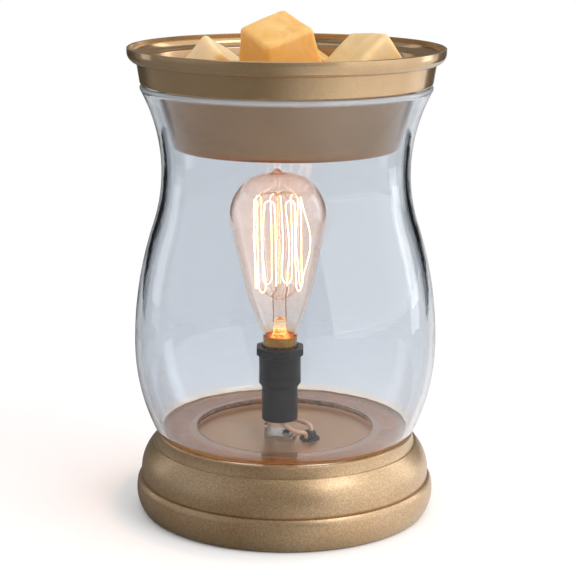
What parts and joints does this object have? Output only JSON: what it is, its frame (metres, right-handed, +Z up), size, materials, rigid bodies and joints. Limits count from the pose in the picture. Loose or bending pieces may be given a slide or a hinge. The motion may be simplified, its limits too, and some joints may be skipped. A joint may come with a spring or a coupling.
{
  "type": "candle warmer lamp",
  "caption": "Candle warmer lamp: stepped metal base, waisted clear glass shade, a filament bulb on a bracket and a lift-off metal dish holding wax melts.",
  "frame": {"origin": "on the table, under the middle of the round base", "axes": "+Z up, -Y to the front as pictured, +X to the viewer's right; the cord inlet is at +Y"},
  "size_m": [0.1268, 0.1268, 0.2051],
  "materials": {
    "champagne_paint": "satin champagne-gold metallic paint",
    "champagne_dish": "satin champagne-gold metallic paint",
    "black_steel": "black powder coat",
    "zinc_steel": "zinc plated",
    "zinc_screw": "bright zinc plate",
    "zinc_nut": "zinc plated",
    "foot_rubber": "matt soft rubber",
    "black_nylon": "moulded nylon",
    "clear_glass": "clear blown glass",
    "clear_silicone": "translucent silicone",
    "set_wax": "set soy wax",
    "pale_wax": "cream wax",
    "amber_wax": "amber wax",
    "cream_wax": "cream wax",
    "honey_wax": "honey wax",
    "black_phenolic": "moulded phenolic, satin",
    "brass_shell": "rolled brass",
    "spring_brass": "spring brass",
    "terminal_brass": "stamped brass",
    "rivet_brass": "drawn brass",
    "plated_bracket": "zinc plated, satin",
    "nickel_screw": "nickel plate",
    "grommet_rubber": "black rubber",
    "pale_insulation": "pale insulation",
    "connector_nylon": "natural nylon",
    "bulb_brass": "bright brass",
    "black_glass": "vitrite glass",
    "solder": "solder",
    "bulb_glass": "clear blown glass",
    "stem_glass": "clear pressed glass",
    "glowing_filament": "carbon wire, lit warm white",
    "support_wire": "molybdenum wire",
    "inner_lead_wire": "nickel wire"
  },
  "bodies": {
    "base": {"base_shell": "champagne_paint", "base_cover": "black_steel", "cover_posts": "zinc_steel", "cover_screws": "zinc_screw", "rubber_feet": "foot_rubber", "cord_inlet": "black_nylon", "glass_shade": "clear_glass", "glass_seal": "clear_silicone", "socket_body": "black_phenolic", "socket_screw_shell": "brass_shell", "socket_centre_contact": "spring_brass", "terminal_live": "terminal_brass", "terminal_neutral": "terminal_brass", "socket_rivets": "rivet_brass", "socket_bracket": "plated_bracket", "bracket_screw": "nickel_screw", "bracket_nut": "zinc_nut", "wire_grommet": "grommet_rubber", "lead_live": "pale_insulation", "lead_neutral": "pale_insulation", "wire_connectors": "connector_nylon"},
    "dish": {"dish": "champagne_dish", "wax_bed": "set_wax"},
    "wax_melt_left": {"wax_melt_left": "pale_wax"},
    "wax_melt_middle": {"wax_melt_middle": "amber_wax"},
    "wax_melt_right": {"wax_melt_right": "cream_wax"},
    "wax_melt_back": {"wax_melt_back": "honey_wax"},
    "bulb_rider": {"bulb_contact": "solder"},
    "bulb": {"bulb_cap": "bulb_brass", "bulb_cap_insulator": "black_glass", "bulb_envelope": "bulb_glass", "bulb_stem": "stem_glass", "bulb_filament": "glowing_filament", "bulb_supports": "support_wire", "bulb_inner_leads": "inner_lead_wire"}
  },
  "joints": [
    {"name": "dish_lift", "type": "slide", "parent": "base", "child": "dish", "axis": [0, 0, 1], "range_m": [0, 0.06]},
    {"name": "wax_melt_left_lift", "type": "slide", "parent": "dish", "child": "wax_melt_left", "axis": [0, 0, 1], "range_m": [0, 0.045]},
    {"name": "wax_melt_middle_lift", "type": "slide", "parent": "dish", "child": "wax_melt_middle", "axis": [0, 0, 1], "range_m": [0, 0.045]},
    {"name": "wax_melt_right_lift", "type": "slide", "parent": "dish", "child": "wax_melt_right", "axis": [0, 0, 1], "range_m": [0, 0.045]},
    {"name": "wax_melt_back_lift", "type": "slide", "parent": "dish", "child": "wax_melt_back", "axis": [0, 0, 1], "range_m": [0, 0.045]},
    {"name": "bulb_rise", "type": "slide", "parent": "base", "child": "bulb_rider", "axis": [0, 0, 1], "range_m": [0, 0.00635]},
    {"name": "bulb_turn", "type": "hinge", "parent": "bulb_rider", "child": "bulb", "pos_m": [-0.0021, -0.006, 0.06], "axis": [0, 0, 1], "range_deg": [0, 900]}
  ],
  "couplings": [
    {"joint": "bulb_rise", "follows": "bulb_turn", "m_per_rad": 0.00040425}
  ]
}
